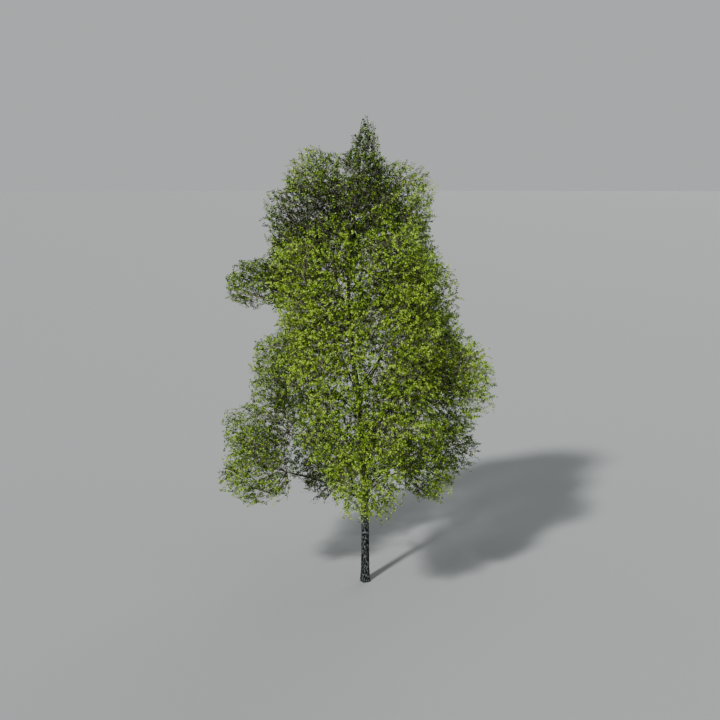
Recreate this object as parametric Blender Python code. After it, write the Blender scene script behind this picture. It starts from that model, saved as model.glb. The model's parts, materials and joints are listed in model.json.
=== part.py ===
"""A grown poplar: one bowed trunk, arching boughs, and a mass of foliage on each bough.

Units are metres and +Z is up.  The origin is the middle of the flat cut at ground level.
The front of the tree faces -Y.
"""

import math

import bmesh
import bpy
import numpy as np
from mathutils import Matrix

# ------------------------------------------------------------------ driving dimensions

GAP = 0.0003                # clearance where one solid meets another
WELD = 0.00005              # points nearer than this, in a tube's caps, are one
SLIVER = 0.00003            # and in a union, where a twig and a blade graze

# Trunk: a tapering pole that bows to the left and comes back towards its top.
TRUNK_TOP = 17.5            # the spire's stem stands on the trunk here
TRUNK_RADIUS = 0.185        # just above the root flare
TRUNK_TOP_RADIUS = 0.045
ROOT_FLARE = 0.045          # extra radius at the ground
FLARE_HEIGHT = 0.35         # height over which the flare dies away
FOOT_HEIGHT = 0.20          # the stretch above the cut that stands upright
TRUNK_BOW = 0.72            # how far the trunk leans to -X where it bows most
BOW_HEIGHT = 12.8           # height of that place
BOW_SPREAD = 5.0            # half the height over which the bow shows
TRUNK_SWAY = 0.10           # slighter bend, front to back
SWAY_LENGTH = 15.0
TRUNK_RINGS = 13

# Boughs: each leaves the trunk at its own height and arches out to its mass.
BOUGH_ARCH = 0.16           # rise of the arch above the straight line, per metre of reach
BOUGH_SLENDER = 0.0135      # radius at the foot, per metre of length
BOUGH_MIN_RADIUS = 0.036
BOUGH_TAPER = 0.50          # tip radius over foot radius
COLLAR = 1.30               # swelling of the foot where it joins the trunk
BOUGH_RINGS = 6
ARC_STEPS = 200             # steps in which a bough feels its way to its mass
FEWEST_STEPS = 20           # and the fewest that it takes, so that it is never a stub

# Twigs and leaves.  Each leaf here stands for a spray of real ones.
LEAF_LENGTH = 1.15
LEAF_WIDTH = 0.92
LEAF_THICKNESS = 0.042
LEAF_BELLY = 0.40           # widest place, as a share of the length from the root
LEAF_SINK = 0.28            # share of the length by which its root lies past the twig
LEAF_ASIDE = 0.045          # the twig meets the blade this far off its midrib
LEAF_TILT = 0.35            # scatter of the way a blade faces, about its twig's heading
LEAF_SWING = 2.2            # the most that a blade is turned from hanging, in radians
LEAF_TRIES = 60
LEAF_LOOSEN = 3.0           # how much wider that scatter has grown by the last try
GRAZE = 0.06                # a twig nearer a blade's edge than this share touches it
LEAVES_PER_AREA = 4.9       # leaves of a mass over its mean half size squared
FEWEST_LEAVES = 2           # and these besides, so that a small mass is full too
CANDIDATES = 4000           # random places that a mass's leaves are chosen from
BEARERS_TRIED = 6           # twig points tried for each new twig, the nearest first
MOST_BRANCHES = 3           # twigs that one point may bear
TWIG_TESTS = 12             # points along a twig at which its clearance is tested
STEM_LENGTH = 0.22          # straight start of each mass's stem
SWELL = 1.6                 # how far a mass's swelling spreads, in half sizes of its space
TWIG_RADIUS = 0.010         # of a last twig
TWIG_GROWTH = 0.45          # a twig that carries n leaves is n ** TWIG_GROWTH times as thick
BRANCH_ROOT = 0.45          # a side twig starts at most this share as thick as its bearer
BRANCH_STEP = 0.07          # and this far past the point where it is borne
WAY_SHARE = 0.60            # 0 joins each twig to the nearest one, 1 runs it to the stem
ROOT_MARGIN = 0.28          # leaf roots keep this far inside their mass's space
NARROW = 1.2                # a mass with a smaller half size than this has smaller leaves
SPACE_MARGIN = 0.03         # blades keep this far inside it
LIMB_MARGIN = 0.05          # twigs keep this far off every limb, and blades twice as far

# Each mass: its name, the middle and the half sizes of its space (across, front to back,
# up), and the height at which its bough leaves the trunk.  The spire has no bough.
MASSES = (
    ("low_front", (0.05, -4.40, 5.85), (1.50, 1.45, 1.75), 4.50),
    ("low_front_left", (-1.30, -3.60, 7.60), (1.65, 1.60, 1.65), 5.90),
    ("low_front_right", (1.35, -3.50, 8.10), (1.75, 1.60, 1.50), 6.35),
    ("low_right", (2.55, -2.30, 6.00), (1.35, 1.60, 1.65), 3.95),
    ("low_left", (-4.50, -1.60, 5.50), (1.72, 1.60, 1.45), 3.60),
    ("left_shoulder", (-4.62, 0.60, 6.80), (1.78, 1.65, 1.40), 5.20),
    ("low_back_left", (-1.75, 2.60, 4.40), (1.80, 1.60, 1.65), 3.30),
    ("low_back", (0.90, 3.90, 5.30), (1.65, 1.50, 1.50), 3.75),
    ("low_back_right", (4.00, 2.10, 5.75), (1.35, 1.70, 1.55), 4.25),
    ("back_left_shoulder", (-2.50, 3.80, 7.30), (1.95, 1.70, 1.80), 4.90),
    ("back_right_shoulder", (1.80, 4.20, 8.00), (1.90, 1.65, 1.75), 5.45),
    ("right_lobe", (3.95, -0.60, 9.05), (1.74, 1.80, 2.05), 6.80),
    ("right_back", (3.45, 2.70, 9.55), (1.70, 1.70, 1.80), 6.10),
    ("middle_left", (-1.75, -2.70, 10.80), (1.85, 1.80, 2.10), 9.05),
    ("middle_right", (1.25, -2.70, 11.00), (1.95, 1.80, 2.10), 8.55),
    ("left_waist", (-3.60, 0.90, 9.60), (1.55, 1.80, 1.85), 7.50),
    ("middle_back_left", (-1.80, 3.40, 10.85), (1.85, 1.70, 2.05), 8.20),
    ("middle_back_right", (1.80, 3.10, 11.60), (1.80, 1.70, 1.95), 7.85),
    ("left_arm", (-4.32, 0.30, 13.18), (1.80, 1.25, 1.20), 10.80),
    ("upper_left_front", (-1.98, -1.85, 13.60), (2.10, 1.60, 2.05), 11.70),
    ("upper_right_side", (2.50, 0.10, 12.65), (1.60, 1.60, 1.95), 10.40),
    ("upper_back_left", (-2.35, 2.20, 14.00), (1.85, 1.60, 1.75), 11.35),
    ("upper_back_right", (1.35, 2.20, 14.40), (1.85, 1.55, 1.70), 11.00),
    ("upper_right_front", (0.85, -1.85, 14.30), (1.90, 1.45, 2.00), 12.80),
    ("top_left_inner", (-2.72, 0.50, 15.95), (1.68, 1.45, 1.70), 13.50),
    ("top_right", (1.54, 0.45, 16.70), (1.50, 1.40, 1.70), 13.95),
    ("top_back", (-0.40, 1.85, 16.55), (1.50, 1.30, 1.50), 14.40),
    ("top_front", (-0.50, -1.10, 17.15), (1.40, 1.25, 1.50), 15.40),
    ("top_left", (-2.20, -0.30, 17.85), (1.00, 1.05, 1.10), 15.00),
    ("spire", (-0.03, 0.00, 18.62), (0.68, 0.68, 1.55), TRUNK_TOP),
)

BARK_COLOUR = (0.105, 0.110, 0.105, 1.0)
LEAF_COLOUR = (0.165, 0.230, 0.050, 1.0)


# ------------------------------------------------------------------ course of the limbs

def trunk_point(height):
    """Middle of the trunk at a height above the ground."""
    bow = math.exp(-(((height - BOW_HEIGHT) / BOW_SPREAD) ** 2))
    bow_at_ground = math.exp(-((BOW_HEIGHT / BOW_SPREAD) ** 2))
    sway = math.sin(2 * math.pi * height / SWAY_LENGTH)
    return np.array((-TRUNK_BOW * (bow - bow_at_ground), TRUNK_SWAY * sway, height))


def trunk_radius(height):
    """Radius of the trunk: an even taper, with the root flare at its foot."""
    share = height / TRUNK_TOP
    return (TRUNK_RADIUS + (TRUNK_TOP_RADIUS - TRUNK_RADIUS) * share
            + ROOT_FLARE * math.exp(-height / FLARE_HEIGHT))


def trunk_line():
    """Points and radii up the trunk.  The first stretch stands upright on the cut."""
    heights = [0.0, FOOT_HEIGHT, 2 * FOOT_HEIGHT, 4 * FOOT_HEIGHT]
    heights += list(np.linspace(8 * FOOT_HEIGHT, TRUNK_TOP, TRUNK_RINGS - len(heights)))
    points = np.array([trunk_point(height) for height in heights])
    points[1, :2] = points[0, :2]
    radii = np.array([trunk_radius(height) for height in heights])
    return points, radii


def bough_line(mass, masses):
    """Points and radii of a bough, from inside the trunk to where it enters its mass."""
    foot = trunk_point(mass["foot"])
    reach = math.hypot(*(mass["middle"] - foot)[:2])
    crest = (foot + mass["middle"]) / 2 + np.array((0, 0, BOUGH_ARCH * reach))
    steps = np.linspace(0, 1, ARC_STEPS)[:, None]
    arc = ((1 - steps) ** 2 * foot + 2 * steps * (1 - steps) * crest
           + steps ** 2 * mass["middle"])
    entered = in_egg(mass, arc, STEM_LENGTH) & in_space(mass, masses, arc, STEM_LENGTH)
    arc = arc[:max(int(np.argmax(entered)), FEWEST_STEPS)]
    rings = arc[np.linspace(0, len(arc) - 1, BOUGH_RINGS).astype(int)]
    length = np.linalg.norm(np.diff(rings, axis=0), axis=1).sum()
    foot_radius = max(BOUGH_MIN_RADIUS, BOUGH_SLENDER * length)
    radii = foot_radius * np.linspace(1, BOUGH_TAPER, BOUGH_RINGS)
    radii[0] *= COLLAR
    return rings, radii


# ------------------------------------------------------------------ space of each mass

def in_egg(mass, points, margin):
    """Which points lie in the egg that a mass's half sizes give."""
    offset = (points - mass["middle"]) / (mass["half"] - margin)
    return (offset ** 2).sum(axis=1) < 1


def crown_depth(masses, points):
    """About how deep points lie inside the crown, in metres, and below 0 outside it.

    Each mass is a soft swelling.  Alone it ends at its egg, but where two are near, they
    add up and fill the notch between them."""
    at_edge = (1 - 1 / SWELL ** 2) ** 2
    swelling = np.zeros(len(points))
    for mass in masses:
        offset = (points - mass["middle"]) / (SWELL * mass["half"])
        swelling += np.clip(1 - (offset ** 2).sum(axis=1), 0, None) ** 2
    fall = 4 * (1 - 1 / SWELL ** 2) / SWELL ** 2 / at_edge
    return (swelling / at_edge - 1) / fall * np.mean([mass["size"] for mass in masses])


def in_space(mass, masses, points, margin):
    """Which points lie in a mass's own space: the part of the crown on its side of the
    flat seams where it meets the others."""
    inside = crown_depth(masses, points) > margin
    for other in masses:
        if other is mass:
            continue
        across = other["middle"] - mass["middle"]
        apart = np.linalg.norm(across)
        share = 0.5 + (mass["size"] ** 2 - other["size"] ** 2) / (2 * apart ** 2)
        depth = (points - mass["middle"]) @ (across / apart)
        inside &= depth < apart * share - margin
    return inside


def distance_to_limbs(points, limbs):
    """Least clear distance from each point to the skin of any limb in the list."""
    nearest = np.full(len(points), np.inf)
    for line, radii in limbs:
        start, along = line[:-1], np.diff(line, axis=0)
        offset = points[:, None] - start[None]
        share = (offset * along).sum(axis=2) / (along ** 2).sum(axis=1)
        share = np.clip(share, 0, 1)
        gap = np.linalg.norm(offset - share[..., None] * along, axis=2)
        radius = radii[:-1] + share * np.diff(radii)
        nearest = np.minimum(nearest, (gap - radius).min(axis=1))
    return nearest


# ------------------------------------------------------------------ twigs and leaves

def choose_roots(mass, masses, limbs, rng):
    """Even places for leaves: each next one is the candidate farthest from those chosen."""
    count = round(FEWEST_LEAVES + LEAVES_PER_AREA * mass["size"] ** 2)
    reach = mass["half"] * SWELL
    candidates = mass["middle"] + reach * rng.uniform(-1, 1, (CANDIDATES, 3))
    inside = in_space(mass, masses, candidates, ROOT_MARGIN * mass["leaf_size"])
    candidates = candidates[inside]
    candidates = candidates[distance_to_limbs(candidates, limbs) > 2 * LIMB_MARGIN]
    nearest = np.linalg.norm(candidates - mass["middle"], axis=1)
    roots = []
    for _ in range(min(count, len(candidates))):
        root = candidates[int(np.argmax(nearest))]
        roots.append(root)
        nearest = np.minimum(nearest, np.linalg.norm(candidates - root, axis=1))
    return roots


def clear_twig(start, end, limbs):
    """Whether a straight twig keeps off every limb."""
    shares = np.linspace(0, 1, TWIG_TESTS)[:, None]
    return distance_to_limbs(start + shares * (end - start), limbs).min() > LIMB_MARGIN


def grow_twigs(stem, roots, limbs):
    """Join the roots, nearest first, each to the twig point that keeps its way short.

    Returns all the points, and for each the index of the point that it grows from."""
    points, parents = [stem[0], stem[1]], [None, 0]
    way = [0.0, float(np.linalg.norm(stem[1] - stem[0]))]
    for root in sorted(roots, key=lambda place: np.linalg.norm(place - stem[1])):
        gaps = np.linalg.norm(np.array(points[1:]) - root, axis=1)
        cost = gaps + WAY_SHARE * np.array(way[1:])
        crowded = [parents.count(index) >= MOST_BRANCHES for index in range(1, len(points))]
        cost[crowded] = np.inf
        for choice in np.argsort(cost)[:BEARERS_TRIED] + 1:
            if clear_twig(points[choice], root, limbs):
                points.append(root)
                parents.append(int(choice))
                way.append(way[choice] + float(gaps[choice - 1]))
                break
    return np.array(points), parents


def drop_bare_twigs(points, parents, leaves):
    """Leave out every twig that carries no leaf, however far on."""
    needed = {0, 1}
    for index in leaves:
        while index not in needed:
            needed.add(index)
            index = parents[index]
    kept = sorted(needed)
    return points[kept], [None] + [kept.index(parents[index]) for index in kept[1:]]


def twig_chains(points, parents, thickest):
    """Split the twigs into unbroken runs, each along its thickest way, with their radii.

    A side run starts a little past the point that bears it, clear of the leaf there."""
    load = [1] * len(points)
    children = [[] for _ in points]
    for index in range(len(points) - 1, 0, -1):
        load[parents[index]] += load[index]
        children[parents[index]].append(index)
    radius = [min(TWIG_RADIUS * value ** TWIG_GROWTH, thickest) for value in load]
    chains, starts = [], [(0, None)]
    while starts:
        first, source = starts.pop(0)
        run = [first]
        while children[run[-1]]:
            branches = sorted(children[run[-1]], key=lambda child: -load[child])
            onward = points[branches[0]] - points[run[-1]]
            onward /= np.linalg.norm(onward)
            for place, child in enumerate(branches[1:], start=1):
                starts.append((child, (points[run[-1]] + place * BRANCH_STEP * onward,
                                       BRANCH_ROOT * radius[branches[0]])))
            run.append(branches[0])
        line, widths = points[run], [radius[index] for index in run]
        if source is not None:
            line = np.vstack((source[0], line))
            widths = [min(source[1], widths[0]), *widths]
        chains.append((line, widths))
    return chains


def leaf_frame(facing, turn):
    """Axes of a blade that faces a way: across, through and along, turned in its plane."""
    through = facing / np.linalg.norm(facing)
    upright = abs(through[2]) > 0.99
    across = np.cross(through, (1, 0, 0) if upright else (0, 0, 1))
    across /= np.linalg.norm(across)
    hanging = np.cross(through, across)
    along = math.cos(turn) * hanging + math.sin(turn) * across
    return np.cross(through, along), through, along


def leaf_cover(root, frame, size):
    """Points spread over a leaf's blade, for the tests of space and clearance."""
    across, _, along = frame
    cover = []
    for share in (0.0, 0.2, LEAF_BELLY, 0.6, 0.8, 1.0):
        spread = min(share / LEAF_BELLY, (1 - share) / (1 - LEAF_BELLY)) * LEAF_WIDTH / 2
        middle = along * (share - LEAF_SINK) * LEAF_LENGTH + across * LEAF_ASIDE
        cover += [middle, middle - across * spread, middle + across * spread]
    return root + size * np.array(cover)


def leaf_rim(*leaf):
    """The four corners of a leaf's blade: root, side, tip, side."""
    return leaf_cover(*leaf)[[0, 7, 15, 8]]


def passes_through(starts, ends, root, frame, size):
    """Whether any straight line, given by its ends, passes through or grazes a leaf's
    blade anywhere but at its root."""
    across, through, along = frame
    height_start, height_end = (starts - root) @ through, (ends - root) @ through
    crossing = height_start * height_end < 0
    starts, ends = starts[crossing], ends[crossing]
    share = height_start[crossing] / (height_start[crossing] - height_end[crossing])
    place = starts + share[:, None] * (ends - starts) - root
    up = place @ along / (size * LEAF_LENGTH) + LEAF_SINK
    aside = np.abs(place @ across / size - LEAF_ASIDE) / (LEAF_WIDTH / 2)
    spread = np.minimum(up / LEAF_BELLY, (1 - up) / (1 - LEAF_BELLY))
    elsewhere = np.linalg.norm(place, axis=1) > BRANCH_STEP / 3
    return bool((elsewhere & (aside < spread + GRAZE)).any())


def blades_cross(leaf, other):
    """Whether the rim of either leaf passes through the other's blade."""
    for first, second in ((leaf, other), (other, leaf)):
        rim = leaf_rim(*first)
        if passes_through(rim, np.roll(rim, -1, axis=0), *second):
            return True
    return False


def set_leaf(mass, masses, limbs, root, heading, wood, leaves, rng):
    """A leaf that keeps in its space and off limbs, twigs and leaves, or None."""
    for attempt in range(LEAF_TRIES):
        scatter = LEAF_TILT * (1 + LEAF_LOOSEN * attempt / LEAF_TRIES)
        facing = heading + scatter * rng.normal(size=3)
        frame = leaf_frame(facing, rng.uniform(-LEAF_SWING, LEAF_SWING))
        leaf = (root, frame, mass["leaf_size"])
        cover = leaf_cover(*leaf)
        if not in_space(mass, masses, cover, SPACE_MARGIN).all():
            continue
        if passes_through(*wood, *leaf):
            continue
        if any(blades_cross(leaf, other) for other in leaves):
            continue
        if distance_to_limbs(cover, limbs).min() > 2 * LIMB_MARGIN:
            return leaf
    return None


def choose_leaves(mass, masses, limbs, points, parents, rng):
    """The leaves that find room, as their twig point to their root, frame and size."""
    lines = [line for line, _ in twig_chains(points, parents, mass["size"]) + limbs]
    wood = (np.vstack([line[:-1] for line in lines]), np.vstack([line[1:] for line in lines]))
    leaves = {}
    for index in range(2, len(points)):
        heading = points[index] - points[parents[index]]
        heading /= np.linalg.norm(heading)
        leaf = set_leaf(mass, masses, limbs, points[index], heading, wood,
                        list(leaves.values()), rng)
        if leaf is not None:
            leaves[index] = leaf
    return leaves


# ------------------------------------------------------------------ Blender objects

def principled(name, colour, roughness):
    """A plain Principled material."""
    material = bpy.data.materials.new(name)
    material.use_nodes = True
    shader = material.node_tree.nodes["Principled BSDF"]
    shader.inputs["Base Color"].default_value = colour
    shader.inputs["Roughness"].default_value = roughness
    shader.inputs["Metallic"].default_value = 0.0
    return material


def tube(name, points, radii, bevel_resolution=None, profile=None):
    """A tapering tube with filled caps, swept along points and made a mesh."""
    curve = bpy.data.curves.new(name, "CURVE")
    curve.dimensions = "3D"
    curve.twist_mode = "MINIMUM"
    curve.use_fill_caps = True
    if profile is None:
        curve.bevel_depth = 1.0
        curve.bevel_resolution = bevel_resolution
    else:
        curve.bevel_mode = "OBJECT"
        curve.bevel_object = profile
    spline = curve.splines.new("POLY")
    spline.points.add(len(points) - 1)
    for knot, point, radius in zip(spline.points, points, radii):
        knot.co = (*point, 1.0)
        knot.radius = radius
    source = bpy.data.objects.new(name, curve)
    bpy.context.scene.collection.objects.link(source)
    mesh = mesh_of(source)
    weld_caps(mesh)
    bpy.data.objects.remove(source)
    bpy.data.curves.remove(curve)
    return bpy.data.objects.new(name, mesh)


def mesh_of(source):
    """The mesh of an object with its modifiers applied."""
    bpy.context.view_layer.update()
    graph = bpy.context.evaluated_depsgraph_get()
    return bpy.data.meshes.new_from_object(source.evaluated_get(graph))


def weld_caps(mesh):
    """Weld a tube's loose caps to its sides, and point its faces out."""
    work = bmesh.new()
    work.from_mesh(mesh)
    bmesh.ops.remove_doubles(work, verts=work.verts, dist=WELD)
    bmesh.ops.recalc_face_normals(work, faces=work.faces)
    work.to_mesh(mesh)
    work.free()


def twig_profile():
    """The three-sided outline that every twig is swept from."""
    curve = bpy.data.curves.new("twig_profile", "CURVE")
    curve.dimensions = "2D"
    spline = curve.splines.new("POLY")
    spline.points.add(2)
    spline.use_cyclic_u = True
    for corner, knot in enumerate(spline.points):
        angle = 2 * math.pi * corner / 3
        knot.co = (math.cos(angle), math.sin(angle), 0, 1)
    guide = bpy.data.objects.new("twig_profile", curve)
    bpy.context.scene.collection.objects.link(guide)
    return guide


def leaf_mesh():
    """A leaf as an eight-faced double pyramid, flat and widest below its middle."""
    work = bmesh.new()
    bmesh.ops.create_uvsphere(work, u_segments=4, v_segments=2, radius=1.0)
    for vertex in work.verts:
        share = LEAF_BELLY if abs(vertex.co.z) < 0.5 else float(vertex.co.z > 0)
        vertex.co.x = vertex.co.x * LEAF_WIDTH / 2 + LEAF_ASIDE
        vertex.co.y *= LEAF_THICKNESS / 2
        vertex.co.z = (share - LEAF_SINK) * LEAF_LENGTH
    mesh = bpy.data.meshes.new("leaf")
    mesh.use_fake_user = True
    work.to_mesh(mesh)
    work.free()
    return mesh


def leaf_object(name, blade, root, frame, size):
    """A copy of the leaf, set where its twig meets it."""
    leaf = bpy.data.objects.new(name, blade)
    turn = Matrix(frame).transposed()
    leaf.matrix_world = Matrix.Translation(root) @ turn.to_4x4() @ Matrix.Scale(size, 4)
    return leaf


def largest_shell(mesh):
    """Keep a mesh's largest shell, so sealed hollows are filled and loose scraps dropped.

    Slivers are closed up first, which leaves some as fins that hang from one edge."""
    work = bmesh.new()
    work.from_mesh(mesh)
    bmesh.ops.triangulate(work, faces=work.faces)
    bmesh.ops.remove_doubles(work, verts=work.verts, dist=SLIVER)
    bmesh.ops.dissolve_degenerate(work, edges=work.edges, dist=SLIVER)
    waiting, shells = set(work.faces), []
    while waiting:
        shell, frontier = set(), [waiting.pop()]
        while frontier:
            face = frontier.pop()
            shell.add(face)
            for edge in face.edges:
                for neighbour in edge.link_faces if len(edge.link_faces) == 2 else ():
                    if neighbour in waiting:
                        waiting.remove(neighbour)
                        frontier.append(neighbour)
        shells.append(shell)
    shells.sort(key=lambda shell: -len(shell))
    scraps = [face for shell in shells[1:] for face in shell]
    bmesh.ops.delete(work, geom=scraps, context="FACES")
    closed = all(edge.is_manifold for edge in work.edges)
    work.to_mesh(mesh)
    work.free()
    return closed


def fuse(name, stem, others, solver):
    """Join a stem with its twigs and leaves by one union, and return the joined object."""
    scene = bpy.context.scene
    group = bpy.data.collections.new(name + "_pieces")
    scene.collection.children.link(group)
    for piece in others:
        group.objects.link(piece)
    scene.collection.objects.link(stem)
    union = stem.modifiers.new("Union", "BOOLEAN")
    union.operation = "UNION"
    union.operand_type = "COLLECTION"
    union.collection = group
    union.solver = solver
    mesh = mesh_of(stem)
    closed = largest_shell(mesh)
    for piece in [stem, *others]:
        shape = piece.data
        bpy.data.objects.remove(piece)
        if shape.users == 0:
            bpy.data.meshes.remove(shape)
    bpy.data.collections.remove(group)
    return bpy.data.objects.new(name, mesh), closed


# ------------------------------------------------------------------ sub-parts

def make_trunk(line, bark):
    """The trunk, and its slightly larger twin that cuts the boughs' feet to fit it."""
    points, radii = line
    trunk = tube("trunk", points, radii, bevel_resolution=4)
    trunk.data.materials.append(bark)
    cutter = tube("trunk_cutter", points, radii + GAP, bevel_resolution=4)
    cutter.hide_render = True
    cutter.display_type = "WIRE"
    return trunk, cutter


def make_bough(name, line, cutter, bark):
    """A tapering bough, its foot cut to the trunk's side."""
    points, radii = line
    bough = tube(name, points, radii, bevel_resolution=1)
    bough.data.materials.append(bark)
    cut = bough.modifiers.new("Foot", "BOOLEAN")
    cut.operation = "DIFFERENCE"
    cut.object = cutter
    cut.solver = "EXACT"
    return bough


def make_foliage(mass, masses, support, limbs, profile, blade, seed):
    """One mass: a stem that carries on from its support, twigs, and leaves fused to them.

    Where a union comes out open, another solver tries it, and then one leaf is left off."""
    line, line_radii = support
    onward = line[-1] - line[-2]
    onward /= np.linalg.norm(onward)
    stem = (line[-1] + GAP * onward, line[-1] + STEM_LENGTH * onward)
    rng = np.random.default_rng(seed)
    points, parents = grow_twigs(stem, choose_roots(mass, masses, limbs, rng), limbs)
    leaves = choose_leaves(mass, masses, limbs, points, parents, rng)
    points, parents = drop_bare_twigs(points, parents, leaves)
    for solver in ("EXACT", "MANIFOLD", "EXACT"):
        chains = twig_chains(points, parents, line_radii[-1])
        pieces = [tube("twig", run, radii, profile=profile) for run, radii in chains]
        pieces += [leaf_object("leaf", blade, *leaf) for leaf in leaves.values()]
        foliage, closed = fuse("leaves_" + mass["name"], pieces[0], pieces[1:], solver)
        if closed:
            return foliage, len(leaves)
        bpy.data.objects.remove(foliage)
        if solver == "MANIFOLD":
            leaves.popitem()
    raise RuntimeError("the twigs and leaves of " + mass["name"] + " do not join")


def clear_scene():
    """Remove every object that the file opened with."""
    for item in list(bpy.data.objects):
        bpy.data.objects.remove(item, do_unlink=True)


def main():
    clear_scene()
    tree = bpy.data.collections.new("poplar_tree")
    guides = bpy.data.collections.new("guides")
    for group in (tree, guides):
        bpy.context.scene.collection.children.link(group)
    bark = principled("bark", BARK_COLOUR, 0.85)
    foliage_material = principled("foliage", LEAF_COLOUR, 0.55)

    masses = []
    for name, middle, half, foot in MASSES:
        masses.append({"name": name, "middle": np.array(middle), "half": np.array(half),
                       "size": float(np.mean(half)), "foot": foot,
                       "leaf_size": min(1.0, min(half) / NARROW)})

    trunk_course = trunk_line()
    supports = []
    for mass in masses:
        on_trunk = mass["foot"] >= TRUNK_TOP
        supports.append(trunk_course if on_trunk else bough_line(mass, masses))
    limbs = [trunk_course] + [line for line in supports if line is not trunk_course]

    trunk, cutter = make_trunk(trunk_course, bark)
    tree.objects.link(trunk)
    guides.objects.link(cutter)
    for mass, support in zip(masses, supports):
        if support is not trunk_course:
            tree.objects.link(make_bough("bough_" + mass["name"], support, cutter, bark))

    profile = twig_profile()
    blade = leaf_mesh()
    total = 0
    for seed, (mass, support) in enumerate(zip(masses, supports)):
        foliage, leaf_count = make_foliage(mass, masses, support, limbs, profile, blade, seed)
        foliage.data.materials.clear()
        foliage.data.materials.append(foliage_material)
        tree.objects.link(foliage)
        total += leaf_count
    bpy.data.objects.remove(profile)
    bpy.data.meshes.remove(blade)

    ground_point = bpy.data.objects.new("ground_point", None)
    tree.objects.link(ground_point)
    for item in tree.objects:
        if item is not ground_point:
            item.parent = ground_point
    print("solids:", len(tree.objects) - 1, "leaves:", total)


main()
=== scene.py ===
# %% [markdown]
# # A grown poplar
# This lesson dresses a poplar 20 m tall.  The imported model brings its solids: a bowed
# trunk, twenty-nine boughs and thirty masses of foliage, each a stem with large blades
# that stand for whole clumps of leaves.  Here the wood gets real bark, and every mass is
# grown on, by the same rule, to fine twigs, shoots and true leaves.

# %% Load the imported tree
import json
import math

import bpy
import numpy as np
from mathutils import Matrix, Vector, noise

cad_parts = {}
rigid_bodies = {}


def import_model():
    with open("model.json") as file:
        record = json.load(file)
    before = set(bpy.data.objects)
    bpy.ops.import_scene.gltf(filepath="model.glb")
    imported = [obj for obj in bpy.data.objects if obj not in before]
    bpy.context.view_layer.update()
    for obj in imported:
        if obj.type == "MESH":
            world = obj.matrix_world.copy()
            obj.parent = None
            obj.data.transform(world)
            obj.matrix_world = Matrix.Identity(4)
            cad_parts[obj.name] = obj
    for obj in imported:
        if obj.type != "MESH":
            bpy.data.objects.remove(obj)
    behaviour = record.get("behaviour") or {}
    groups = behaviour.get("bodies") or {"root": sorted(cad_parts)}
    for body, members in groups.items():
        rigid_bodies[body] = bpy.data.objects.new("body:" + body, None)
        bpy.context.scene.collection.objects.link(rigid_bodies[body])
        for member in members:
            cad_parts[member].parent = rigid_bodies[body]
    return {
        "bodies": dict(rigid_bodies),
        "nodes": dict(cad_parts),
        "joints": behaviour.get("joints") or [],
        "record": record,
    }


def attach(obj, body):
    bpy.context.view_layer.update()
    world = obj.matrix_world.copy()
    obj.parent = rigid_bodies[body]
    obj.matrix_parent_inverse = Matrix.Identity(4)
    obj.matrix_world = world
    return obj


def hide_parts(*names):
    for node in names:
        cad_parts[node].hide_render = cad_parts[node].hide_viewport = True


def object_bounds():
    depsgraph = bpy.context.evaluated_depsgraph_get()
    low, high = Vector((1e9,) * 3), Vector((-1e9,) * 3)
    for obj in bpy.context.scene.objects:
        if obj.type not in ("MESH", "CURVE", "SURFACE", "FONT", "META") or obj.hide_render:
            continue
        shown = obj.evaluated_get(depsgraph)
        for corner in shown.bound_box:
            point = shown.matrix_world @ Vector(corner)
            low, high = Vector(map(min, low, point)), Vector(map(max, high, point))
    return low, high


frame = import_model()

scene = bpy.context.scene
packed_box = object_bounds()
print("packed box:", np.round(packed_box, 3).tolist())

# %% [markdown]
# ## The camera
# A wide lens from near by would swell the low boughs and shrink the top.  So the camera
# stands 43 m away with a normal lens, a little above the crown's middle.

# %% The camera
MIDDLE_HEIGHT = 9.94      # height that the camera looks at
CAMERA_AWAY = 42.68       # metres from there
CAMERA_RISE = math.radians(10.0)
CAMERA_ASIDE = -0.235     # the crown's middle is a little left of the trunk's foot
FARTHEST_SEEN = 5000.0


def aim(thing, place, target):
    """Put a camera or lamp at a place and point it at a target."""
    thing.location = place
    look = Vector(target) - Vector(place)
    thing.rotation_euler = look.to_track_quat("-Z", "Y").to_euler()
    scene.collection.objects.link(thing)


lens = bpy.data.cameras.new("camera")
lens.lens, lens.sensor_width, lens.clip_end = 50.0, 36.0, FARTHEST_SEEN
camera = bpy.data.objects.new("camera", lens)
aim(camera, (CAMERA_ASIDE, -CAMERA_AWAY * math.cos(CAMERA_RISE),
             MIDDLE_HEIGHT + CAMERA_AWAY * math.sin(CAMERA_RISE)),
    (CAMERA_ASIDE, 0, MIDDLE_HEIGHT))
scene.camera = camera
print("camera at", [round(value, 2) for value in camera.location], "m")

# %% [markdown]
# ## The light
# A crown shows its form by the shade between its leaves.  An even dome of light would
# flatten it, and a bare hard sun would burn it out.  So a soft key stands at the front
# left, a weak fill at the right and a wide lamp behind, in pale air, and a "medium high
# contrast" view deepens the hollows.

# %% The light
AIR_COLOUR = "#d6d9da"
AIR_STRENGTH = 0.595
# Each lamp's name, the way it shines from, its strength, and its width in degrees.
LAMPS = (("key", (-22, -34, 40), 4.0, 5),
         ("fill", (30, -20, 16), 0.4, 40),
         ("back_fill", (16, 36, 22), 1.3, 50))


def linear(hex_colour):
    """An sRGB hex colour as the linear numbers that a shader takes."""
    shares = [int(hex_colour[place:place + 2], 16) / 255 for place in (1, 3, 5)]
    return [share / 12.92 if share <= 0.04045 else ((share + 0.055) / 1.055) ** 2.4
            for share in shares] + [1.0]


def lamp(name, place, strength, width):
    """A soft lamp, so far off that its light falls evenly on the whole tree."""
    light = bpy.data.lights.new(name, "SUN")
    light.energy = strength
    light.angle = math.radians(width)
    aim(bpy.data.objects.new(name, light), place, (0, 0, MIDDLE_HEIGHT))


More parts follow.
